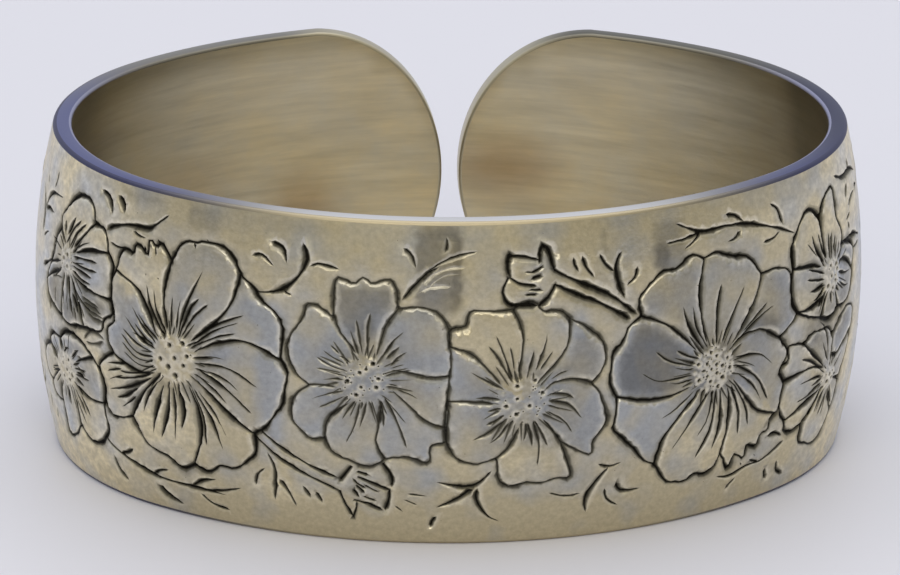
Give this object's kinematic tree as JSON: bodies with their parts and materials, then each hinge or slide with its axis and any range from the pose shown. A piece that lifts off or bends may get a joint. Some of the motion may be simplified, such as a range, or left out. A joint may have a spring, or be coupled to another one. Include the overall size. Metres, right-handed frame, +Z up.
{
  "type": "cuff bracelet",
  "caption": "Wide domed one-piece silver cuff with rounded ends at a narrow back gap and an engraved band of flowers, buds and sprigs round the outside.",
  "frame": {"origin": "middle of the oval plan, on the plane of the lower rim that the cuff lies on", "axes": "+X along the oval's long axis, to the right as seen from the flowered front, +Y towards the gap at the back, +Z up across the band's width"},
  "size_m": [0.065, 0.0526, 0.0258],
  "materials": {
    "silver": "satin polished silver, darkened in the engraved lines"
  },
  "bodies": {
    "root": {"cuff": "silver"}
  },
  "joints": []
}
